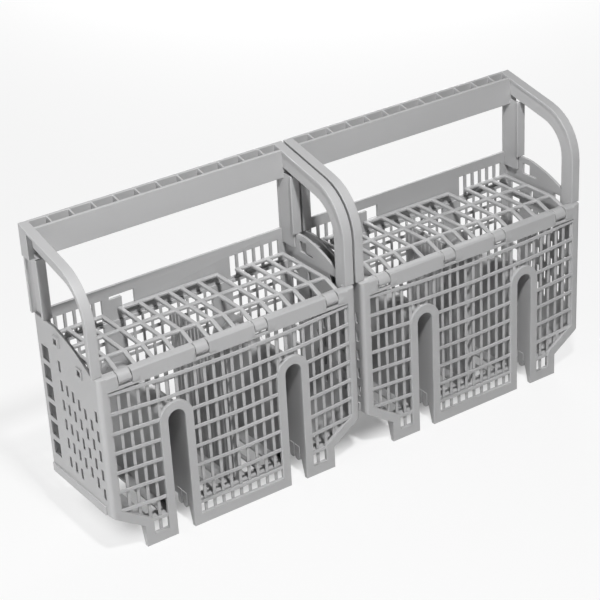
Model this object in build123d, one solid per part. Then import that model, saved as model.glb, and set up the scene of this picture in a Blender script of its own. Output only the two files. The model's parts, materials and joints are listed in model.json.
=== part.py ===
from build123d import *
import os

# Dishwasher cutlery basket: two identical halves end to end.
# Each is a moulded body, a hinged grid lid and a handle.
# One half is drawn from its front left bottom corner: X to the right, Y to the back, Z up, millimetres.

# Body of one half
BASKET_WIDTH = 240.0
BASKET_DEPTH = 97.0
HALF_GAP = 6.0            # between the two halves
RIM_HEIGHT = 160.4        # top of the front rim
BACK_RISE = 21.1          # the back wall stands this much above the rim
END_WALL = 2.4            # thickness of the end walls and of the back band
CORNER_RADIUS = 4.0       # upright outside corners
FLOOR_LEVEL = 19.5        # underside of the floor above the feet
FLOOR_THICKNESS = 2.2
SLOPE_RUN = 28.0          # the floor rises over this length at both ends
SLOPE_RISE = 18.5
DRAIN_WIDTH = 11.0        # slots of the floor
DRAIN_RIB = 3.2           # between two slots
DRAIN_SETBACK = 13.0      # from the front and back faces to the slots
LAP = 1.0                 # blocks of one moulding run into each other by this length
ROUND_SIDES = 12          # sides of a full turn on small rounded edges
ARCH_SIDES = 32           # and on the arches of the tunnels

# Grille of the front and back walls
FRAME_THICKNESS = 3.6     # frame around the grille
FRAME_WIDTH = 8.0         # posts and sloped corner bands of the frame
FOOT_BAND = 9.5           # height of the bottom band
FIELD_DROP = 12.8         # upper edge of the grille below the rim
GRILLE_INSET = 1.0        # bars lie this far behind the face of the frame
BAR_WIDTH = 2.8           # upright bars of the front
BACK_BAR = 2.4            # upright bars of the back
LEVEL_WIDTH = 3.1         # level bars
BAR_GAP = 0.2             # level bars pass this far in front of the uprights
COLUMN_PITCH = 8.55
ROW_PITCH = 17.4
TOP_ROW_DROP = 7.1        # uppermost front bar below the edge of the grille at its lowest point
ROW_BOW = 5.6             # the front bars rise this much towards the ends
BOW_STEPS = 4
FRONT_ROWS = range(8)
BACK_ROW_DROP = 15.0      # uppermost back bar below the edge of the grille
BACK_ROWS = (0, 1, 3)     # row pitches below the uppermost back bar
PANEL_COLUMN = 6          # plain panels of the back wall, in columns from the middle

# Rack tunnels, one on each side of the middle compartments
TUNNEL_OFFSET = 55.2      # from the middle of the half
TUNNEL_WIDTH = 15.6
TUNNEL_HEIGHT = 112.0
TUNNEL_WALL = 2.2
TUNNEL_BORDER = 7.5       # flat border around the arch on the front and back walls
GUSSET_DEPTH = 9.0        # feet widen to this depth at the floor
GUSSET_WIDTH = 2.2

# Divider between the middle compartments
DIVIDER = 2.0
DIVIDER_DROP = 2.6        # top of the divider below the edge of the grille
BEAD_WIDTH = 4.4          # thick upright near its front end
BEAD_DEPTH = 2.0
BEAD_FRONT = 8.0

# Openings of the end walls
SLIT_WIDTH = 3.5
SLIT_HEIGHT = 9.5
SLIT_COLUMNS = 7
SLIT_PITCH = 8.9
SLIT_FRONT = 8.5          # first column behind the front face
SLIT_RISE = 14.0          # bottom of the lowest slit of the first column above the foot of the end wall
SLIT_CLIMB = 21.0         # the last column lies this much higher
SLIT_DROP = 27.4          # slits of the first column end this much below the rim
WINDOW_WIDTH = 11.5       # column of windows next to the back corner
WINDOW_HEIGHT = 12.8
WINDOW_COUNT = 6
WINDOW_DROP = 4.1         # uppermost window below the rim
WINDOW_BACK = 7.5         # from the back face
LIP_HEIGHT = 8.0          # lip along the foot of the end wall
LIP_PROUD = 1.4
END_STEP = 31.0           # the end wall is level with the back wall over this length
END_BULGE = 3.4           # rise of its curved edge above a straight line
SOCKET_Y = 60.0           # square socket and plug that join two halves
SOCKET_DROP = 11.0        # below the top of the end wall
SOCKET_SIZE = 9.0
SOCKET_PROUD = 2.4
PLUG_CLEARANCE = 0.4
PLUG_REACH = 1.0          # the plug enters the socket by this length
PLUG_WINDOW = 10.0        # height of the window beside the plug
PLUG_SLIT = 1.25          # slit under the plug
LOWER_SOCKET_Y = 28.0
LOWER_SOCKET_DROP = 25.5
LOWER_SOCKET_PROUD = 1.2
LOWER_WINDOW = 8.0

# Upper band of the back wall
SLOT_COLUMNS = 6          # slots at each end of the band, in line with the grille
SLOT_DROP = 10.0          # below the top of the back wall
SLOT_HEIGHT = 19.0
LATCH_LEFT = 66.0         # L-shaped window
LATCH_WIDTH = 23.0
LATCH_HEIGHT = 11.5
LATCH_DROP = 9.0
LATCH_SLIT = 2.5

# Hinge in the front rim
RIM_EDGE = 1.6            # bevel of the front upper edge
RIM_FLANGE = 7.2          # depth of the rim from the front face
RIM_THICKNESS = 3.0
HINGE_INSET = 5.0         # from the front face and from the top of the rim to the pins
PIN_RADIUS = 2.2
PIN_SIDES = 8
PIN_CLEARANCE = 0.3
KNUCKLE_RADIUS = 5.5
KNUCKLE_LENGTH = 11.4
KNUCKLE_PLAY = 0.6        # each side of a knuckle
KNUCKLE_HEEL = 0.7        # flat under a knuckle, in radii below the pin
KNUCKLE_SIDE = 0.25
KNUCKLE_OFFSETS = (-96.5, -27.5, 27.5, 96.5)
CLIP_MOUTH = 3.6
PIN_FIN = 2.4             # fin on the left of each knuckle
PIN_BOSS = 6.4            # boss on its right

# Lid
LID_RISE = 1.6            # top of the grid above the rim
LID_THICKNESS = 3.0
LID_BAR = 3.5
LID_SIDE_PLAY = 8.4       # from the outside of the body to the lid
LID_FRONT = 11.4          # front bar behind the rim
LID_FRONT_DROP = 5.5      # front bar lies this much lower than the grid
LID_BACK_PLAY = 0.6       # from the back wall
LID_SETBACK = 3.0         # side sections end this much earlier
LID_ROWS = (29.5, 60.5)
SIDE_CELLS = (1.0, 1.15, 1.15)
MIDDLE_CELLS = (17.5, 15.5, 13.5, 12.0, 17.0, 19.5)
LID_NOTCH = 18.5
REST_PLAY = 0.3
REST_SIZE = 6.5
REST_OFFSET = 80.0        # from the middle of the half

# Handle
HANDLE_TOP = 257.0        # back upper edge of the bar
HANDLE_OVERHANG = 2.5     # the bar stands behind the back wall by this length
HANDLE_DEPTH = 12.0
HANDLE_HEIGHT = 27.5
HANDLE_WALL = 2.0
POCKET_PITCH = 19.6
RIB_THICKNESS = 1.6
BRACKET_FRONT = 4.5
SHOULDER_DROP = 22.2      # from the top of the bar to where the slope would meet the upright
BRACKET_RADIUS = 45.0
BRACKET_STEPS = 8         # flats along the bend
BRACKET_BAND = 15.0
BRACKET_WEB = 3.0
BRACKET_OVERHANG = 2.0    # flange beyond the end wall
BRACKET_FLANGE = 8.5
FLANGE_THICKNESS = 2.6
POST_DEPTH = 21.2
POST_OVERHANG = 0.2       # the post stands behind the back wall by this length
POST_LAP = 4.0            # the post runs into the bar
SEAT_GAP = 0.15
CLIP_GAP = 0.3
FRONT_CLIP = 10.5         # length of the tongues in the corners
BACK_CLIP = 13.0
CORNER_DEPTH = 10.6       # block under the foot of the bracket
CORNER_WIDTH = 7.6

MIDDLE = BASKET_WIDTH / 2
BASKET_PITCH = BASKET_WIDTH + HALF_GAP
BACK_HEIGHT = RIM_HEIGHT + BACK_RISE
FIELD_TOP = RIM_HEIGHT - FIELD_DROP
FOOT_HEIGHT = FLOOR_LEVEL + SLOPE_RISE
HINGE_Y = HINGE_INSET
HINGE_Z = RIM_HEIGHT - HINGE_INSET
LID_TOP = RIM_HEIGHT + LID_RISE
LID_BOTTOM = LID_TOP - LID_THICKNESS
LID_LOW = LID_BOTTOM - LID_FRONT_DROP
TUNNELS = (MIDDLE - TUNNEL_OFFSET, MIDDLE + TUNNEL_OFFSET)
SOCKET_Z = BACK_HEIGHT - SOCKET_DROP
LOWER_SOCKET_Z = BACK_HEIGHT - LOWER_SOCKET_DROP
PLUG_LENGTH = HALF_GAP - SOCKET_PROUD + PLUG_REACH
HANDLE_BACK = BASKET_DEPTH + HANDLE_OVERHANG
HANDLE_BOTTOM = HANDLE_TOP - HANDLE_HEIGHT
BRACKET_SHOULDER = HANDLE_TOP - SHOULDER_DROP
POST_BACK = BASKET_DEPTH + POST_OVERHANG
POST_FRONT = POST_BACK - POST_DEPTH
LEFT_END = -max(SOCKET_PROUD, BRACKET_OVERHANG)
FRONT_END = min(HINGE_Y - KNUCKLE_RADIUS, 0)
RIGHT_END = BASKET_PITCH + BASKET_WIDTH + max(PLUG_LENGTH, BRACKET_OVERHANG)


def span(x0, x1, z0, z1):
    return Pos((x0 + x1) / 2, (z0 + z1) / 2) * Rectangle(x1 - x0, z1 - z0)


def outline(*points):
    return make_face(Polyline(*points, close=True))


def across(sketch, y0, y1):
    return extrude(Plane.XZ.offset(-y1) * sketch, y1 - y0, dir=(0, -1, 0))


def along(sketch, x0, x1):
    return extrude(Plane.YZ.offset(x0) * sketch, x1 - x0, dir=(1, 0, 0))


def block(x0, x1, y0, y1, z0, z1):
    size = Box(x1 - x0, y1 - y0, z1 - z0)
    return Pos((x0 + x1) / 2, (y0 + y1) / 2, (z0 + z1) / 2) * size


def arch(middle, half, crown, foot):
    spring = crown - half
    return span(middle - half, middle + half, foot, spring) + Pos(middle, spring) * RegularPolygon(half, ARCH_SIDES)


def arches(grow, foot):
    half = TUNNEL_WIDTH / 2 + grow
    return Sketch() + [arch(x, half, TUNNEL_HEIGHT + grow, foot) for x in TUNNELS]


def mirrored(points):
    return points + [(BASKET_WIDTH - x, z) for x, z in reversed(points)]


# Front and back walls

def columns():
    count = int((MIDDLE - FRAME_WIDTH) / COLUMN_PITCH)
    return [MIDDLE + COLUMN_PITCH * k for k in range(-count, count + 1)]


def bowed_bar(z):
    steps = [2 * k / BOW_STEPS - 1 for k in range(BOW_STEPS + 1)]
    under = [(MIDDLE + MIDDLE * s, z - LEVEL_WIDTH / 2 + ROW_BOW * s ** 2) for s in steps]
    over = [(x, low + LEVEL_WIDTH) for x, low in reversed(under)]
    return outline(*under, *over)


def straight_bar(z):
    return span(0, BASKET_WIDTH, z - LEVEL_WIDTH / 2, z + LEVEL_WIDTH / 2)


def grille(field, rows, width):
    uprights = [span(x - width / 2, x + width / 2, 0, FIELD_TOP) for x in columns()]
    depth = (FRAME_THICKNESS - GRILLE_INSET - BAR_GAP) / 2
    level = across((Sketch() + rows) & field, GRILLE_INSET, GRILLE_INSET + depth)
    upright = across((Sketch() + uprights) & field, FRAME_THICKNESS - depth, FRAME_THICKNESS)
    return [level, upright]


def slope_inset():
    length = (SLOPE_RUN ** 2 + SLOPE_RISE ** 2) ** 0.5
    return FRAME_WIDTH * length / SLOPE_RUN


def slope_height(x):
    return FLOOR_LEVEL + SLOPE_RISE * (1 - x / SLOPE_RUN)


def front_wall():
    foot = SLOPE_RUN + FRAME_WIDTH
    edge = [(0, FIELD_TOP), (0, FOOT_HEIGHT), (SLOPE_RUN, FLOOR_LEVEL), (SLOPE_RUN, 0)]
    inner = [(FRAME_WIDTH, FIELD_TOP), (FRAME_WIDTH, slope_height(FRAME_WIDTH) + slope_inset()),
             (foot, slope_height(foot) + slope_inset()), (foot, FOOT_BAND)]
    field = outline(*mirrored(inner)) - arches(TUNNEL_BORDER, 0)
    frame = outline(*mirrored(edge)) - arches(0, 0) - field
    top = FIELD_TOP - TOP_ROW_DROP
    rows = [bowed_bar(top - ROW_PITCH * k) for k in FRONT_ROWS]
    return across(frame, 0, FRAME_THICKNESS) + grille(field, rows, BAR_WIDTH)


def back_panels():
    half = COLUMN_PITCH + BACK_BAR / 2
    offset = PANEL_COLUMN * COLUMN_PITCH
    return [span(x - half, x + half, FLOOR_LEVEL, FIELD_TOP) for x in (MIDDLE - offset, MIDDLE + offset)]


def back_wall():
    left = TUNNELS[0]
    band = FLOOR_LEVEL + FRAME_WIDTH
    turn = SLOPE_RUN * (FOOT_HEIGHT + slope_inset() - band) / SLOPE_RISE
    rail = FIELD_TOP + LEVEL_WIDTH
    edge = [(0, rail), (0, FOOT_HEIGHT), (SLOPE_RUN, FLOOR_LEVEL), (left, FLOOR_LEVEL), (left, 0)]
    inner = [(FRAME_WIDTH, FIELD_TOP), (FRAME_WIDTH, slope_height(FRAME_WIDTH) + slope_inset()),
             (turn, band), (left, band), (left, FOOT_BAND)]
    field = outline(*mirrored(inner)) - arches(TUNNEL_BORDER, 0) - back_panels()
    frame = outline(*mirrored(edge)) - arches(0, 0) - field
    top = FIELD_TOP - BACK_ROW_DROP
    rows = [straight_bar(top - ROW_PITCH * k) for k in BACK_ROWS]
    wall = across(frame, 0, FRAME_THICKNESS) + grille(field, rows, BACK_BAR)
    turned = Pos(BASKET_WIDTH, BASKET_DEPTH) * Rot(0, 0, 180) * wall
    return turned + across(back_band(), BASKET_DEPTH - END_WALL, BASKET_DEPTH)


def back_band():
    band = span(0, BASKET_WIDTH, FIELD_TOP, BACK_HEIGHT)
    half = (COLUMN_PITCH - BACK_BAR) / 2
    high = BACK_HEIGHT - SLOT_DROP
    bars = columns()
    for x in bars[:SLOT_COLUMNS] + bars[-1 - SLOT_COLUMNS:-1]:
        middle = x + COLUMN_PITCH / 2
        band -= span(middle - half, middle + half, high - SLOT_HEIGHT, high)
    right = LATCH_LEFT + LATCH_WIDTH
    top = BACK_HEIGHT - LATCH_DROP
    band -= span(LATCH_LEFT, right, top - LATCH_SLIT, top)
    return band - span(right - LATCH_WIDTH / 2, right, top - LATCH_HEIGHT, top)


# End walls

def end_outline():
    step = BASKET_DEPTH - END_STEP
    crest = ((CORNER_DEPTH + step) / 2, (RIM_HEIGHT + BACK_HEIGHT) / 2 + END_BULGE)
    curve = ThreePointArc((CORNER_DEPTH, RIM_HEIGHT), crest, (step, BACK_HEIGHT))
    rest = Polyline((step, BACK_HEIGHT), (BASKET_DEPTH, BACK_HEIGHT), (BASKET_DEPTH, FOOT_HEIGHT),
                    (0, FOOT_HEIGHT), (0, RIM_HEIGHT), (CORNER_DEPTH, RIM_HEIGHT))
    return make_face([curve, *rest.edges()])


def slit_column(k):
    share = k / (SLIT_COLUMNS - 1)
    y = SLIT_FRONT + SLIT_PITCH * k
    base = FOOT_HEIGHT + SLIT_RISE
    rise = SLIT_CLIMB * (1 - (1 - share) ** 2)
    top = RIM_HEIGHT - SLIT_DROP + SLIT_CLIMB * share
    z = base + rise % ROW_PITCH
    slits = []
    while z + SLIT_HEIGHT < top:
        slits.append(span(y - SLIT_WIDTH / 2, y + SLIT_WIDTH / 2, z, z + SLIT_HEIGHT))
        z += ROW_PITCH
    return slits


def end_openings():
    openings = []
    for k in range(SLIT_COLUMNS):
        openings += slit_column(k)
    back = BASKET_DEPTH - WINDOW_BACK
    for k in range(WINDOW_COUNT):
        high = RIM_HEIGHT - WINDOW_DROP - ROW_PITCH * k
        openings.append(span(back - WINDOW_WIDTH, back, high - WINDOW_HEIGHT, high))
    return Sketch() + openings


def square(y, z, size):
    return Pos(y, z) * Rectangle(size, size)


def lip():
    return span(FRAME_WIDTH, BASKET_DEPTH - CORNER_RADIUS, FOOT_HEIGHT, FOOT_HEIGHT + LIP_HEIGHT)


def left_end():
    wall = along(end_outline() - end_openings(), 0, END_WALL)
    upper = square(SOCKET_Y, SOCKET_Z, SOCKET_SIZE)
    lower = square(LOWER_SOCKET_Y, LOWER_SOCKET_Z, SOCKET_SIZE)
    wall += along(lip(), -LIP_PROUD, END_WALL)
    wall += [along(upper, -SOCKET_PROUD, END_WALL), along(lower, -LOWER_SOCKET_PROUD, END_WALL)]
    hole = SOCKET_SIZE - 2 * END_WALL + 2 * PLUG_CLEARANCE
    for y, z in ((SOCKET_Y, SOCKET_Z), (LOWER_SOCKET_Y, LOWER_SOCKET_Z)):
        wall -= along(square(y, z, hole), -SOCKET_PROUD, END_WALL)
    return wall


def right_end():
    x = BASKET_WIDTH - END_WALL
    side = SOCKET_SIZE / 2
    low = SOCKET_Z - side
    face = end_outline() - end_openings()
    face -= span(SOCKET_Y + side, SOCKET_Y + side + SOCKET_SIZE, low, low + PLUG_WINDOW)
    face -= span(SOCKET_Y - side, SOCKET_Y + side, low, low + PLUG_SLIT)
    face -= square(LOWER_SOCKET_Y, LOWER_SOCKET_Z, LOWER_WINDOW)
    plug = square(SOCKET_Y, SOCKET_Z, SOCKET_SIZE - 2 * END_WALL)
    wall = along(face, x, BASKET_WIDTH)
    return wall + [along(lip(), x, BASKET_WIDTH + LIP_PROUD), along(plug, x, BASKET_WIDTH + PLUG_LENGTH)]


# Floor, tunnels, divider and feet

def compartments():
    side = TUNNEL_WIDTH / 2 + TUNNEL_WALL
    left, right = TUNNELS
    half = DIVIDER / 2
    return [(SLOPE_RUN, left - side), (left + side, MIDDLE - half), (MIDDLE + half, right - side),
            (right + side, BASKET_WIDTH - SLOPE_RUN)]


def drains():
    pitch = DRAIN_WIDTH + DRAIN_RIB
    back = BASKET_DEPTH - DRAIN_SETBACK
    top = FLOOR_LEVEL + FLOOR_THICKNESS + LAP
    slots = []
    for x0, x1 in compartments():
        count = int((x1 - x0 - DRAIN_RIB) / pitch)
        first = (x0 + x1 - pitch * count + DRAIN_RIB) / 2
        for k in range(count):
            x = first + pitch * k
            slots.append(block(x, x + DRAIN_WIDTH, DRAIN_SETBACK, back, 0, top))
    return slots


def floor():
    low = [(0, FOOT_HEIGHT), (SLOPE_RUN, FLOOR_LEVEL)]
    high = [(x, z + FLOOR_THICKNESS) for x, z in mirrored(low)]
    profile = outline(*mirrored(low), *reversed(high)) - arches(TUNNEL_WALL / 2, 0)
    flat = span(SLOPE_RUN, BASKET_WIDTH - SLOPE_RUN, 0, FOOT_HEIGHT)
    edge = FRAME_THICKNESS + BAR_GAP
    half = FRAME_THICKNESS / 2
    plate = across(profile, edge, BASKET_DEPTH - edge) - drains()
    return plate + across(profile - flat, half, BASKET_DEPTH - half)


def tunnels():
    shell = arches(TUNNEL_WALL, FLOOR_LEVEL) - arches(0, 0)
    return across(shell, FRAME_THICKNESS / 2, BASKET_DEPTH - FRAME_THICKNESS / 2)


def divider():
    low = FLOOR_LEVEL + FLOOR_THICKNESS / 2
    high = FIELD_TOP - DIVIDER_DROP
    wall = span(MIDDLE - DIVIDER / 2, MIDDLE + DIVIDER / 2, low, high)
    bead = span(MIDDLE - BEAD_WIDTH / 2, MIDDLE + BEAD_WIDTH / 2, low, high)
    sheet = across(wall, FRAME_THICKNESS, BASKET_DEPTH - FRAME_THICKNESS)
    return sheet + across(bead, BEAD_FRONT, BEAD_FRONT + BEAD_DEPTH)


def gussets():
    high = FLOOR_LEVEL + LAP
    side = outline((LAP, 0), (FRAME_THICKNESS, 0), (GUSSET_DEPTH, high), (LAP, high))
    feet = [SLOPE_RUN, BASKET_WIDTH - SLOPE_RUN - GUSSET_WIDTH]
    for x in TUNNELS:
        feet.append(x - TUNNEL_WIDTH / 2 - GUSSET_WIDTH)
        feet.append(x + TUNNEL_WIDTH / 2)
    return [along(side, x, x + GUSSET_WIDTH) for x in feet]


# Rim and hinge

def rim_profile():
    skin = FRAME_THICKNESS
    under = RIM_HEIGHT - RIM_THICKNESS
    return outline((0, FIELD_TOP), (0, RIM_HEIGHT - RIM_EDGE), (RIM_EDGE, RIM_HEIGHT), (RIM_FLANGE, RIM_HEIGHT),
                   (RIM_FLANGE, under), (skin, under), (skin, FIELD_TOP))


def knuckle_spans():
    half = KNUCKLE_LENGTH / 2
    return [(MIDDLE + x - half, MIDDLE + x + half) for x in KNUCKLE_OFFSETS]


def hinge_seat(x0, x1):
    low = HINGE_Z - KNUCKLE_RADIUS - PIN_CLEARANCE
    return block(x0 - KNUCKLE_PLAY, x1 + KNUCKLE_PLAY, -LAP, RIM_FLANGE + LAP, low, RIM_HEIGHT + LAP)


def crown():
    top = HINGE_Z + KNUCKLE_RADIUS
    disc = Pos(HINGE_Y, HINGE_Z) * RegularPolygon(KNUCKLE_RADIUS, ROUND_SIDES)
    return disc & span(HINGE_Y - KNUCKLE_RADIUS, HINGE_Y + KNUCKLE_RADIUS, HINGE_Z, top)


def pin_supports(x0, x1):
    a = x0 - KNUCKLE_PLAY
    b = x1 + KNUCKLE_PLAY
    low = HINGE_Z - HINGE_INSET
    front = HINGE_Y - KNUCKLE_RADIUS
    raised = crown() - span(RIM_FLANGE, HINGE_Y + KNUCKLE_RADIUS, HINGE_Z, RIM_HEIGHT + LAP)
    raised += span(front, RIM_FLANGE, low, HINGE_Z)
    pin = Pos(HINGE_Y, HINGE_Z) * RegularPolygon(PIN_RADIUS, PIN_SIDES)
    return [along(raised, a - PIN_FIN, a), along(raised, b, b + PIN_BOSS), along(pin, a - LAP, b + LAP)]


def rim():
    bar = along(rim_profile(), END_WALL / 2, BASKET_WIDTH - END_WALL / 2)
    bar -= [hinge_seat(*ends) for ends in knuckle_spans()]
    for ends in knuckle_spans():
        bar += pin_supports(*ends)
    corner = block(0, CORNER_WIDTH, 0, CORNER_DEPTH, FIELD_TOP, RIM_HEIGHT)
    return bar + [corner, Pos(BASKET_WIDTH - CORNER_WIDTH) * corner]


def lid_rests():
    wall = BASKET_DEPTH - END_WALL
    top = LID_BOTTOM - REST_PLAY
    depth = LID_BACK_PLAY + LID_SETBACK + LID_BAR
    side = outline((wall, top), (wall - depth, top), (wall, top - depth))
    places = (MIDDLE - REST_OFFSET, MIDDLE + REST_OFFSET)
    return [along(side, x - REST_SIZE / 2, x + REST_SIZE / 2) for x in places]


def corner_rounding():
    radius = CORNER_RADIUS
    quarter = Pos(radius / 2, radius / 2) * Rectangle(radius, radius)
    quarter -= Pos(radius, radius) * RegularPolygon(radius, ROUND_SIDES)
    front = extrude(quarter, RIM_HEIGHT + LAP)
    back = extrude(quarter, BACK_HEIGHT + LAP)
    front_pair = [front, Pos(BASKET_WIDTH) * Rot(0, 0, 90) * front]
    right_back = Pos(BASKET_WIDTH, BASKET_DEPTH) * Rot(0, 0, 180) * back
    return front_pair + [right_back, Pos(0, BASKET_DEPTH) * Rot(0, 0, 270) * back]


def make_basket():
    body = front_wall() + [back_wall(), left_end(), right_end(), floor(), tunnels(), divider()]
    body += [rim(), *gussets(), *lid_rests()]
    return body - corner_rounding()


# Lid

def bar_places(x0, x1, cells):
    places = [x0]
    for share in cells:
        places.append(places[-1] + (x1 - x0) * share / sum(cells))
    return places


def lid_sections():
    edge = LID_SIDE_PLAY + LID_BAR / 2
    a = TUNNELS[0] - LID_NOTCH / 2
    b = TUNNELS[0] + LID_NOTCH / 2
    left = bar_places(edge, a, SIDE_CELLS)
    middle = bar_places(b, BASKET_WIDTH - b, MIDDLE_CELLS)
    right = bar_places(BASKET_WIDTH - a, BASKET_WIDTH - edge, SIDE_CELLS)
    return left, middle, right


def cross_profile(back):
    ramp = LID_ROWS[0] - LID_BAR
    return outline((LID_FRONT, LID_LOW), (ramp, LID_BOTTOM), (back, LID_BOTTOM), (back, LID_TOP),
                   (ramp, LID_TOP), (LID_FRONT, LID_LOW + LID_THICKNESS))


def lid_grid():
    half = LID_BAR / 2
    far = BASKET_DEPTH - END_WALL - LID_BACK_PLAY
    grid = []
    for places, setback in zip(lid_sections(), (LID_SETBACK, 0, LID_SETBACK)):
        back = far - setback
        profile = cross_profile(back)
        grid += [along(profile, x - half, x + half) for x in places]
        grid.append(block(places[0], places[-1], back - LID_BAR, back, LID_BOTTOM, LID_TOP))
    return grid


def lid_rows():
    x0 = LID_SIDE_PLAY
    x1 = BASKET_WIDTH - LID_SIDE_PLAY
    rows = [block(x0, x1, y - LID_BAR / 2, y + LID_BAR / 2, LID_BOTTOM, LID_TOP) for y in LID_ROWS]
    return rows + [block(x0, x1, LID_FRONT, LID_FRONT + LID_BAR, LID_LOW, LID_LOW + LID_THICKNESS)]


def knuckle_profile():
    radius = KNUCKLE_RADIUS
    room = PIN_RADIUS + PIN_CLEARANCE
    heel = KNUCKLE_HEEL * radius
    side = HINGE_Z - KNUCKLE_SIDE * radius
    low = HINGE_Z - heel
    base = outline((HINGE_Y - radius, HINGE_Z), (HINGE_Y - radius, side), (HINGE_Y - heel, low),
                   (HINGE_Y + heel, low), (HINGE_Y + radius, side), (HINGE_Y + radius, HINGE_Z))
    slot = span(HINGE_Y - room, HINGE_Y + room, HINGE_Z - room, HINGE_Z + room)
    mouth = span(HINGE_Y - CLIP_MOUTH / 2, HINGE_Y + CLIP_MOUTH / 2, HINGE_Z - radius, HINGE_Z)
    return crown() + base - slot - mouth


def knuckle(x0, x1):
    room = PIN_RADIUS + PIN_CLEARANCE
    arm = block(x0, x1, HINGE_Y + room, LID_FRONT + LAP, LID_LOW, LID_LOW + LID_THICKNESS)
    return along(knuckle_profile(), x0, x1) + arm


def make_lid():
    parts = lid_rows() + lid_grid() + [knuckle(*ends) for ends in knuckle_spans()]
    return parts[0] + parts[1:]


# Handle

def bracket_slope():
    return SHOULDER_DROP / (HANDLE_BACK - BRACKET_FRONT)


def bracket_line(inset):
    front = BRACKET_FRONT + inset
    slope = bracket_slope()
    drop = inset * (1 + slope ** 2) ** 0.5
    shoulder = BRACKET_SHOULDER + slope * inset - drop
    foot = RIM_HEIGHT + SEAT_GAP
    points = ((front, foot), (front, shoulder), (HANDLE_BACK, HANDLE_TOP - drop))
    curve = FilletPolyline(*points, radius=BRACKET_RADIUS - inset)
    bend = curve.edges().filter_by(GeomType.CIRCLE)[0]
    steps = [bend @ (k / BRACKET_STEPS) for k in range(BRACKET_STEPS + 1)]
    return Polyline(points[0], *sorted(steps, key=lambda step: step.Y), points[2])


def bracket_band(inset):
    outer = bracket_line(0)
    inner = bracket_line(inset)
    ends = [Line(outer @ 0, inner @ 0), Line(outer @ 1, inner @ 1)]
    return make_face([*outer.edges(), *inner.edges(), *ends])


def bracket():
    x0 = END_WALL + CLIP_GAP
    x1 = x0 + BRACKET_WEB
    edge = BRACKET_FLANGE - BRACKET_OVERHANG
    seat = BACK_HEIGHT + SEAT_GAP
    foot = RIM_HEIGHT + SEAT_GAP
    top = HANDLE_BOTTOM + POST_LAP
    inside = BASKET_DEPTH - END_WALL - CLIP_GAP
    front = POST_FRONT + FLANGE_THICKNESS
    flanges = [bracket_band(FLANGE_THICKNESS), span(POST_FRONT, front, seat, top),
               span(POST_BACK - FLANGE_THICKNESS, POST_BACK, seat, top)]
    webs = [bracket_band(BRACKET_BAND), span(POST_FRONT, POST_BACK, seat, top),
            span(front, inside, seat - BACK_CLIP, seat + LAP),
            span(CORNER_DEPTH + CLIP_GAP, BRACKET_FRONT + BRACKET_BAND, foot - FRONT_CLIP, foot + LAP)]
    return [along(web, x0, x1) for web in webs] + [along(part, -BRACKET_OVERHANG, edge) for part in flanges]


def handle_bar():
    edge = BRACKET_FLANGE - BRACKET_OVERHANG
    front = HANDLE_BACK - HANDLE_DEPTH
    top = HANDLE_TOP - bracket_slope() * HANDLE_DEPTH
    section = outline((front, HANDLE_BOTTOM), (HANDLE_BACK, HANDLE_BOTTOM),
                      (HANDLE_BACK, HANDLE_TOP), (front, top))
    bar = along(section, -BRACKET_OVERHANG, BASKET_WIDTH + BRACKET_OVERHANG)
    count = int((MIDDLE - edge) / POCKET_PITCH)
    ribs = [MIDDLE + POCKET_PITCH * k for k in range(-count, count + 1)]
    half = RIB_THICKNESS / 2
    ends = [edge - half, *ribs, BASKET_WIDTH - edge + half]
    for a, b in zip(ends, ends[1:]):
        bar -= block(a + half, b - half, front + HANDLE_WALL, HANDLE_BACK - HANDLE_WALL,
                     HANDLE_BOTTOM + HANDLE_WALL, HANDLE_TOP + LAP)
    return bar


def make_handle():
    left = bracket()
    right = [mirror(part, Plane.YZ.offset(MIDDLE)) for part in left]
    return handle_bar() + left + right


# Both halves, with the origin under the middle of the whole

os.makedirs("parts", exist_ok=True)
centre = Pos(-(LEFT_END + RIGHT_END) / 2, -(FRONT_END + HANDLE_BACK) / 2)
makers = (("basket", make_basket), ("lid", make_lid), ("handle", make_handle))
for name, make in makers:
    shape = make()
    for side, x in (("left", 0), ("right", BASKET_PITCH)):
        export_step(centre * Pos(x) * shape, f"parts/{side}_{name}.step")
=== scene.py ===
# %% [markdown]
# # A moulded cutlery basket in two halves
# This lesson dresses a imported CAD model of a dishwasher cutlery basket: two grille bodies, two
# hinged grid lids and two carrying handles. The solids already have their true form, so the work
# here is what a moulding shop and a photographer would add: soft edges, a satin grey plastic, some
# fine trim, a white table, three lamps and the camera of the picture.
# The frame is loaded first. It brings one mesh for each CAD node. The empty for each body that
# moves is made when the first piece is hung under it.

import json
import math

import bmesh
import bpy
from mathutils import Matrix, Vector


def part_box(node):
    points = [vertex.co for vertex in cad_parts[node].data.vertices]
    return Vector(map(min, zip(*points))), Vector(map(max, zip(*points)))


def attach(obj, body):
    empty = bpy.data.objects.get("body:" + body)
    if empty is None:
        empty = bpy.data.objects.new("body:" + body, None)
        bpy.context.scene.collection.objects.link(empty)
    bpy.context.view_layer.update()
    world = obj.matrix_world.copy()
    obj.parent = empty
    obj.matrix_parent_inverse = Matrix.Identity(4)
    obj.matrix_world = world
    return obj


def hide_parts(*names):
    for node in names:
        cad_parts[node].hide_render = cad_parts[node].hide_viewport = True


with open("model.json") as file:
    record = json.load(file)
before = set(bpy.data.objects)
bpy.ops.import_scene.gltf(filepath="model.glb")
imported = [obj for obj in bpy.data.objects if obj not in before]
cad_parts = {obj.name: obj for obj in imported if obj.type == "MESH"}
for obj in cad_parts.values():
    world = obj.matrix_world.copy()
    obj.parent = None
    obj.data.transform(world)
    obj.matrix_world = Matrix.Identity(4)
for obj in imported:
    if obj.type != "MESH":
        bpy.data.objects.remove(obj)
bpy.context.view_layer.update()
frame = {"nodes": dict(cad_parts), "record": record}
MM = 0.001
for node in sorted(frame["nodes"]):
    low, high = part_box(node)
    print(node, "size in mm", [round((b - a) / MM, 1) for a, b in zip(low, high)])
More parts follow.
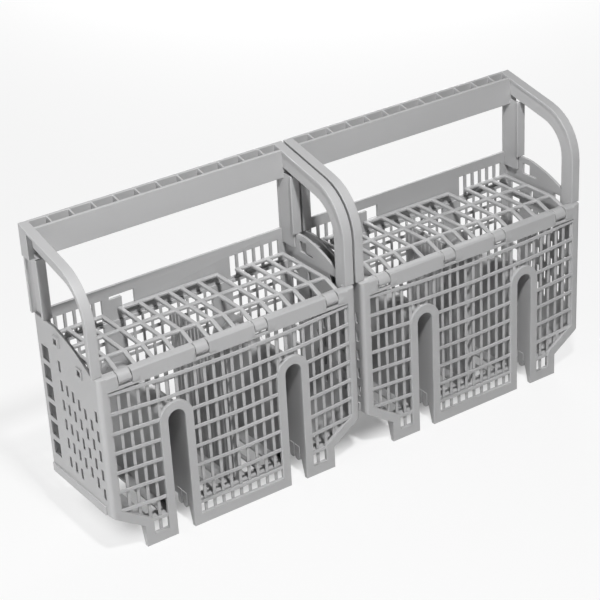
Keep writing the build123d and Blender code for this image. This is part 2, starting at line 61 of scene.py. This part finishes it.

# %% [markdown]
# ## Selection and hand-over
# Operators act on whatever is selected, so a step starts from a clean selection. A finished piece
# is hung under the empty of the body it moves with, and the CAD node it stands for is hidden.

# %% Selection and hand-over
bodies = frame["record"]["behaviour"]["bodies"]


def select_only(obj):
    bpy.ops.object.select_all(action="DESELECT")
    obj.select_set(True)
    bpy.context.view_layer.objects.active = obj


def body_of_node(node):
    return next(body for body, members in bodies.items() if node in members)


def stand_for(obj, node):
    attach(obj, body_of_node(node))
    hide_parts(node)


for body, members in bodies.items():
    print("body", body, "carries", members)

# %% [markdown]
# ## Shader maths as plain expressions
# A material is easier to read as a formula. A thin wrapper round a socket turns
# `0.4 + 0.1 * grain` into Math nodes. Any other node comes from one method that sets the node's
# own options first and then its inputs. An input is given by its name, or by `i` and its number
# where a node has several inputs of one name.


# %% A socket that does arithmetic
class Value:
    def __init__(self, tree, socket):
        self.tree = tree
        self.socket = socket

    def node(self, kind, settings=None, output=0, **inputs):
        made = self.tree.nodes.new(kind)
        for key, value in (settings or {}).items():
            setattr(made, key, value)
        for key, value in inputs.items():
            numbered = key[0] == "i" and key[1:].isdigit()
            target = made.inputs[int(key[1:]) if numbered else key.replace("_", " ")]
            if isinstance(value, Value):
                self.tree.links.new(value.socket, target)
            else:
                target.default_value = value
        return Value(self.tree, made.outputs[output])

    def math(self, operation, first, second):
        return self.node("ShaderNodeMath", {"operation": operation}, i0=first, i1=second)

    def __add__(self, other):
        return self.math("ADD", self, other)

    __radd__ = __add__

    def __mul__(self, other):
        return self.math("MULTIPLY", self, other)

    __rmul__ = __mul__

    def __sub__(self, other):
        return self.math("SUBTRACT", self, other)

    def __rsub__(self, other):
        return self.math("SUBTRACT", other, self)

    def __abs__(self):
        return self.math("ABSOLUTE", self, 0.0)


# %% [markdown]
# ## Satin grey polypropylene
# The real basket is one grey plastic all through. Moulds for such parts are lightly spark-eroded,
# so the surface has a very fine grain that scatters the highlight, and slow, faint clouds where
# the melt cooled unevenly. A painted picture would need unwrapped meshes. Noise on Object
# coordinates needs none and stays with a piece as it turns. The grain feeds Roughness and a Bump,
# the clouds Base Color.

# %% The plastic
GREY_LIGHT = (0.475, 0.475, 0.478)
GREY_DARK = (0.435, 0.435, 0.439)
TONES = {"basket": 1.0, "lid": 1.02, "handle": 1.03}
CLOUD_SCALE = 14.0
CLOUD_DETAIL = 2.0
GRAIN_SCALE = 2600.0
GRAIN_DETAIL = 1.0
GRAIN_BUMP = 0.10
GRAIN_HEIGHT = 0.02 * MM
ROUGHNESS = 0.44
ROUGHNESS_SPREAD = 0.14
OBJECT_OUTPUT = 3


def satin_plastic(name, tone):
    material = bpy.data.materials.new(name)
    material.use_nodes = True
    tree = material.node_tree
    shader = tree.nodes["Principled BSDF"]
    start = Value(tree, None)
    place = start.node("ShaderNodeTexCoord", output=OBJECT_OUTPUT)
    clouds = start.node("ShaderNodeTexNoise", Vector=place, Scale=CLOUD_SCALE, Detail=CLOUD_DETAIL)
    grain = start.node("ShaderNodeTexNoise", Vector=place, Scale=GRAIN_SCALE, Detail=GRAIN_DETAIL)
    dark = [c * tone for c in GREY_DARK] + [1]
    light = [c * tone for c in GREY_LIGHT] + [1]
    # A Mix node has sockets for each data type: its colours are inputs 6 and 7 and output 2.
    blend = {"data_type": "RGBA"}
    colour = start.node("ShaderNodeMix", blend, output=2, i0=clouds, i6=dark, i7=light)
    gloss = ROUGHNESS - ROUGHNESS_SPREAD / 2 + ROUGHNESS_SPREAD * grain
    bump = start.node("ShaderNodeBump", Strength=GRAIN_BUMP, Distance=GRAIN_HEIGHT, Height=grain)
    tree.links.new(colour.socket, shader.inputs["Base Color"])
    tree.links.new(gloss.socket, shader.inputs["Roughness"])
    tree.links.new(bump.socket, shader.inputs["Normal"])
    return material


finishes = {part: satin_plastic(part + " plastic", tone) for part, tone in TONES.items()}
print("finishes:", [m.name for m in finishes.values()])

# %% [markdown]
# ## Softened edges
# No moulded edge is razor sharp: a small radius catches the light along every bar. The CAD mesh
# comes as loose triangles, so a copy is merged and its flat triangles are dissolved into large
# faces. A bevel of every edge would be simpler, but in a tight corner it folds over itself and
# shows as a dark speck. So only edges that turn outwards and have room for the radius at both
# ends are selected.

# %% Merge a node and choose its edges
MERGE_DISTANCE = 0.001 * MM
FLAT_ANGLE = math.radians(1)
TURN_ANGLE = math.radians(50)
ROOM_IN_RADII = 2.1


def merged_copy(node):
    select_only(frame["nodes"][node])
    bpy.ops.object.duplicate()
    piece = bpy.context.view_layer.objects.active
    piece.parent = None
    piece.name = node + "_moulding"
    select_only(piece)
    bpy.ops.object.mode_set(mode="EDIT")
    bpy.ops.mesh.select_all(action="SELECT")
    bpy.ops.mesh.remove_doubles(threshold=MERGE_DISTANCE)
    bpy.ops.mesh.dissolve_limited(angle_limit=FLAT_ANGLE)
    bpy.ops.mesh.select_mode(type="EDGE")
    return piece


def select_outer_edges(piece, radius):
    bpy.ops.mesh.select_all(action="DESELECT")
    shape = bmesh.from_edit_mesh(piece.data)
    shortest = [min(edge.calc_length() for edge in corner.link_edges) for corner in shape.verts]
    chosen = 0
    for edge in shape.edges:
        turned = edge.is_manifold and edge.calc_face_angle_signed() > TURN_ANGLE
        roomy = all(shortest[corner.index] > ROOM_IN_RADII * radius for corner in edge.verts)
        edge.select_set(turned and roomy)
        chosen += turned and roomy
    bmesh.update_edit_mesh(piece.data)
    return chosen


# %% [markdown]
# ## Flats with many windows
# A face in Blender has no holes, so a flat with windows is stored with hidden cuts from window to
# window. When the rims of the windows move during the bevel, a cut can cross a rim and the flat
# folds. Such a flat is found by a triangle that faces the wrong way. It is deleted, and its
# outline with all the windows is filled again.

# %% Mend folded flats
FOLD_AREA = MM * MM
SAME_DIRECTION = 0.9999
SAME_DEPTH = 0.02 * MM


def same_plane(one, other):
    return one[0].dot(other[0]) > SAME_DIRECTION and abs(one[1] - other[1]) < SAME_DEPTH


def folded_planes(piece):
    planes = []
    shape = bmesh.from_edit_mesh(piece.data)
    for corners in shape.calc_loop_triangles():
        face = corners[0].face
        a, b, c = (corner.vert.co for corner in corners)
        if (b - a).cross(c - a).dot(face.normal) < -FOLD_AREA:
            plane = (face.normal.copy(), a.dot(face.normal))
            if not any(same_plane(plane, other) for other in planes):
                planes.append(plane)
    return planes


def refill(piece, plane):
    bpy.ops.mesh.select_mode(type="FACE")
    bpy.ops.mesh.select_all(action="DESELECT")
    shape = bmesh.from_edit_mesh(piece.data)
    for face in shape.faces:
        face.select_set(same_plane(plane, (face.normal, face.verts[0].co.dot(plane[0]))))
    bpy.ops.mesh.delete(type="FACE")
    bpy.ops.mesh.select_mode(type="EDGE")
    bpy.ops.mesh.select_non_manifold(extend=False, use_wire=False, use_multi_face=False,
                                     use_non_contiguous=False, use_verts=False)
    bpy.ops.mesh.fill(use_beauty=True)
    shape = bmesh.from_edit_mesh(piece.data)
    filled = [face for face in shape.faces if face.select]
    if filled and filled[0].normal.dot(plane[0]) < 0:
        bpy.ops.mesh.flip_normals()
    return len(filled)


# %% [markdown]
# ## Round the mouldings
# The walls get a fine radius and the handle a larger one. The lid has the largest, because its
# bars look almost round. A Weighted Normal modifier then keeps the large flats flat while the new
# edges shade round.

# %% Round the mouldings
EDGE_RADII = {"basket": 0.35 * MM, "lid": 0.8 * MM, "handle": 0.5 * MM}
EDGE_SEGMENTS = 2


def soften(node, finish, radius):
    piece = merged_copy(node)
    chosen = select_outer_edges(piece, radius)
    bpy.ops.mesh.bevel(offset=radius, segments=EDGE_SEGMENTS, affect="EDGES",
                       clamp_overlap=False, loop_slide=False)
    mended = [refill(piece, plane) for plane in folded_planes(piece)]
    bpy.ops.object.mode_set(mode="OBJECT")
    bpy.ops.object.shade_smooth_by_angle(angle=TURN_ANGLE)
    bpy.ops.object.modifier_add(type="WEIGHTED_NORMAL")
    piece.modifiers[-1].keep_sharp = True
    bpy.ops.object.modifier_apply(modifier=piece.modifiers[-1].name)
    piece.data.materials.clear()
    piece.data.materials.append(finish)
    stand_for(piece, node)
    faces = len(piece.data.polygons)
    print(piece.name, chosen, "edges rounded,", faces, "faces, flats filled again:", mended)


for side in ("left", "right"):
    for part, finish in finishes.items():
        soften(f"{side}_{part}", finish, EDGE_RADII[part])

# %% [markdown]
# ## Small repeated trim
# Some trim is too fine for the solids. Each kind is modelled once, as a cube scaled to size, and
# Array modifiers repeat it, so the copies stay alike and their spacing is one number. The second
# half of the basket gets a copy with its own mesh. The lengths of the trim are in millimetres.

# %% Block, row and second half
HALF_PITCH = 246.0


def small_block(name, low, high):
    bpy.ops.object.select_all(action="DESELECT")
    middle = [(a + b) / 2 * MM for a, b in zip(low, high)]
    bpy.ops.mesh.primitive_cube_add(size=1, location=middle)
    block = bpy.context.view_layer.objects.active
    block.name = name
    block.scale = [(b - a) * MM for a, b in zip(low, high)]
    bpy.ops.object.transform_apply(location=True, rotation=True, scale=True)
    bpy.ops.object.mode_set(mode="EDIT")
    bpy.ops.mesh.select_all(action="SELECT")
    return block


def repeat(piece, count, step):
    bpy.ops.object.modifier_add(type="ARRAY")
    row = piece.modifiers[-1]
    row.count = count
    row.use_relative_offset = False
    row.use_constant_offset = True
    row.constant_offset_displace = [v * MM for v in step]
    bpy.ops.object.modifier_apply(modifier=row.name)


def both_halves(piece, right_name):
    bpy.ops.object.shade_smooth_by_angle(angle=TURN_ANGLE)
    piece.data.materials.append(finishes["basket"])
    bpy.ops.object.duplicate(linked=False)
    copy = bpy.context.view_layer.objects.active
    copy.name = right_name
    copy.location.x += HALF_PITCH * MM
    bpy.ops.object.transform_apply(location=True, rotation=True, scale=True)
    for half, node in ((piece, "left_basket"), (copy, "right_basket")):
        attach(half, body_of_node(node))
        print(half.name, len(half.data.polygons), "faces")


# %% [markdown]
# ## Ribs on the middle dividers
# In the real basket the wall between the two middle compartments carries fine upright ribs, so
# that wet cutlery does not stick to it. They are half a millimetre high. One rib is a slim bar
# right through the divider, with rounded edges, so a single row shows on both faces of the wall.

# %% Divider ribs
DIVIDER_PLACE = -124.1
RIB_WIDTH = 1.7
RIB_SPAN = 3.1
RIB_FOOT = 22.0
RIB_TOP = 143.6
RIB_FIRST = -33.5
RIB_PITCH = 5.7
RIB_COUNT = 14
RIB_ROUND = 0.5

rib_low = (DIVIDER_PLACE - RIB_SPAN / 2, RIB_FIRST - RIB_WIDTH / 2, RIB_FOOT)
rib_high = (DIVIDER_PLACE + RIB_SPAN / 2, RIB_FIRST + RIB_WIDTH / 2, RIB_TOP)
ribs = small_block("left_divider_ribs", rib_low, rib_high)
bpy.ops.mesh.bevel(offset=RIB_ROUND * MM, segments=EDGE_SEGMENTS, affect="EDGES")
bpy.ops.object.mode_set(mode="OBJECT")
repeat(ribs, RIB_COUNT, (0, RIB_PITCH, 0))
both_halves(ribs, "right_divider_ribs")

# %% [markdown]
# ## Stubs low in the tunnels
# Low in each tunnel two short stubs with round ends hang from the wall, where the basket slides
# over a rail of the rack. One stub is a small block. The two lower edges that run across it are
# selected by their height and direction and get a large bevel. Three Array modifiers then place
# it along the wall, on both walls of a tunnel and in both tunnels.

# %% Tunnel stubs
STUB_LOW = (-172.0, -40.0, 13.0)
STUB_HIGH = (-169.3, -34.0, 27.0)
STUB_ROUND = 2.4
STUB_SEGMENTS = 4
STUB_STEP = 7.6
WALL_STEP = -17.3
TUNNEL_PITCH = 110.4
PAIR = 2

stubs = small_block("left_tunnel_stubs", STUB_LOW, STUB_HIGH)
bpy.ops.mesh.select_mode(type="EDGE")
bpy.ops.mesh.select_all(action="DESELECT")
shape = bmesh.from_edit_mesh(stubs.data)
half_height = (STUB_LOW[2] + STUB_HIGH[2]) / 2 * MM
for edge in shape.edges:
    one, other = (corner.co for corner in edge.verts)
    across = abs(one.x - other.x) > MM
    edge.select_set(across and one.z < half_height)
bmesh.update_edit_mesh(stubs.data)
bpy.ops.mesh.bevel(offset=STUB_ROUND * MM, segments=STUB_SEGMENTS, affect="EDGES")
bpy.ops.object.mode_set(mode="OBJECT")
for step in ((0, STUB_STEP, 0), (WALL_STEP, 0, 0), (TUNNEL_PITCH, 0, 0)):
    repeat(stubs, PAIR, step)
both_halves(stubs, "right_tunnel_stubs")

# %% [markdown]
# ## White table
# The picture was taken on a white sweep. The table is a wide plane that bounces light like paper,
# which brightens the front walls more than the parts behind the rim. What the camera sees of it is
# mixed with plain white, through Light Path, so the background stays nearly white without more
# light on the basket, and the shadow stays faint. Right under the basket that white is taken back
# as painted shade, so the table seen through the slots of the floor lies in the dark. From here on
# lengths are in metres.

# %% Table
TABLE_SIZE = 12.0
WHITE = (1, 1, 1, 1)
PAPER_COLOUR = (0.72, 0.72, 0.72, 1)
PAPER_ROUGHNESS = 0.9
PAPER_WHITE = 0.80
# The covered patch is the basket's footprint, where the white is taken back as painted shade.
COVERED_LENGTH = (0.20, 0.235)
COVERED_DEPTH = (0.020, 0.050)
COVERED_MIDDLE = 0.008
PAINTED_SHADE_STRENGTH = 0.75


def within(distance, edge):
    settings = {"interpolation_type": "SMOOTHSTEP"}
    return distance.node("ShaderNodeMapRange", settings, Value=abs(distance), From_Min=edge[0],
                         From_Max=edge[1], To_Min=1.0, To_Max=0.0)


def white_paper():
    material = bpy.data.materials.new("white paper")
    material.use_nodes = True
    tree = material.node_tree
    start = Value(tree, None)
    paper = tree.nodes["Principled BSDF"]
    paper.inputs["Base Color"].default_value = PAPER_COLOUR
    paper.inputs["Roughness"].default_value = PAPER_ROUGHNESS
    place = start.node("ShaderNodeTexCoord", output=OBJECT_OUTPUT)
    length = start.node("ShaderNodeSeparateXYZ", Vector=place)
    depth = start.node("ShaderNodeSeparateXYZ", output=1, Vector=place) - COVERED_MIDDLE
    # Painted shade: a mask for the patch right under the basket.
    painted_shade_mask = within(length, COVERED_LENGTH) * within(depth, COVERED_DEPTH)
    camera_ray = start.node("ShaderNodeLightPath")
    # Painted shade: the camera sees less of the white glow under the basket.
    seen = camera_ray * (PAPER_WHITE - PAPER_WHITE * PAINTED_SHADE_STRENGTH * painted_shade_mask)
    glow = start.node("ShaderNodeEmission", Color=WHITE, Strength=1.0)
    surface = Value(tree, paper.outputs[0])
    mixed = start.node("ShaderNodeMixShader", i0=seen, i1=surface, i2=glow)
    tree.links.new(mixed.socket, tree.nodes["Material Output"].inputs["Surface"])
    return material


bpy.ops.object.select_all(action="DESELECT")
bpy.ops.mesh.primitive_plane_add(size=TABLE_SIZE, location=(0, 0, 0))
table = bpy.context.view_layer.objects.active
table.name = "white_table"
table.data.materials.append(white_paper())
print("table", TABLE_SIZE, "m wide")

# %% [markdown]
# ## The room
# A bright world would fill the inside of the basket with light, and there the picture is dark. So
# the world adds next to nothing, but the camera sees it as pale as the table. Light Path tells the
# two cases apart.

# %% Room
WORLD_STRENGTH = 0.01
WORLD_SEEN = 0.93
world = bpy.data.worlds.new("white room")
bpy.context.scene.world = world
world.use_nodes = True
room = Value(world.node_tree, None)
brightness = WORLD_STRENGTH + (WORLD_SEEN - WORLD_STRENGTH) * room.node("ShaderNodeLightPath")
backdrop = world.node_tree.nodes["Background"]
backdrop.inputs["Color"].default_value = WHITE
world.node_tree.links.new(brightness.socket, backdrop.inputs["Strength"])
print("world gives", WORLD_STRENGTH, "and is seen as", WORLD_SEEN)

# %% [markdown]
# ## Three lamps
# The shading of the picture tells where the lamps stood. The front walls and the upper faces are
# bright and fade a little to the right, the walls of the tunnels get only grazing light, and each
# level bar throws a sharp dark line just below itself: so the main lamp was small and stood high
# in front of the left half. The end wall is almost as bright, so a second lamp stood on the left.
# A third lamp, low behind the right corner, lights the sides that the picture does not show.

# %% Lamps
LAMP_AIM = Vector((0, 0, 0.1))
LAMPS = {
    "main lamp": {"place": (-0.26, -0.66, 1.27), "size": 0.12, "power": 18.5},
    "left lamp": {"place": (-1.60, -0.05, 0.40), "size": 0.6, "power": 12.5},
    "back lamp": {"place": (1.00, 1.40, 0.30), "size": 0.8, "power": 22},
}


def area_lamp(name, place, size, power):
    bpy.ops.object.select_all(action="DESELECT")
    bpy.ops.object.light_add(type="AREA", location=place)
    lamp = bpy.context.view_layer.objects.active
    lamp.name = name
    lamp.data.size = size
    lamp.data.energy = power
    away = Vector(place) - LAMP_AIM
    lamp.rotation_euler = away.to_track_quat("Z", "Y").to_euler()
    print(name, "stands", round(away.length, 2), "m away")


for name, values in LAMPS.items():
    area_lamp(name, **values)

# %% [markdown]
# ## Camera
# The picture's camera was found by fitting the corners of the basket: its direction, a small roll,
# the distance and the focal length, which is given in pixels of the square picture and turned into
# a lens for a sensor 36 mm wide.

# %% Camera
AZIMUTH = math.radians(-33.78)
ELEVATION = math.radians(27.24)
ROLL = math.radians(-3.19)
DISTANCE = 1.55373
FOCAL_PIXELS = 1841.78
PICTURE_PIXELS = 600
SENSOR = 36.0
CAMERA_AIM = Vector((-0.01181, 0.0205, 0.1235))

flat = math.cos(ELEVATION)
backward = Vector((math.sin(AZIMUTH) * flat, -math.cos(AZIMUTH) * flat, math.sin(ELEVATION)))
level = Vector((math.cos(AZIMUTH), math.sin(AZIMUTH), 0))
upward = backward.cross(level)
right = math.cos(ROLL) * level + math.sin(ROLL) * upward
up = -math.sin(ROLL) * level + math.cos(ROLL) * upward
bpy.ops.object.select_all(action="DESELECT")
bpy.ops.object.camera_add(location=CAMERA_AIM + backward * DISTANCE)
camera = bpy.context.view_layer.objects.active
camera.rotation_euler = Matrix((right, up, backward)).transposed().to_euler()
camera.data.sensor_width = SENSOR
camera.data.lens = FOCAL_PIXELS / PICTURE_PIXELS * SENSOR
bpy.context.scene.camera = camera
bpy.context.scene.view_settings.view_transform = "Standard"
print("lens", round(camera.data.lens, 1), "mm")
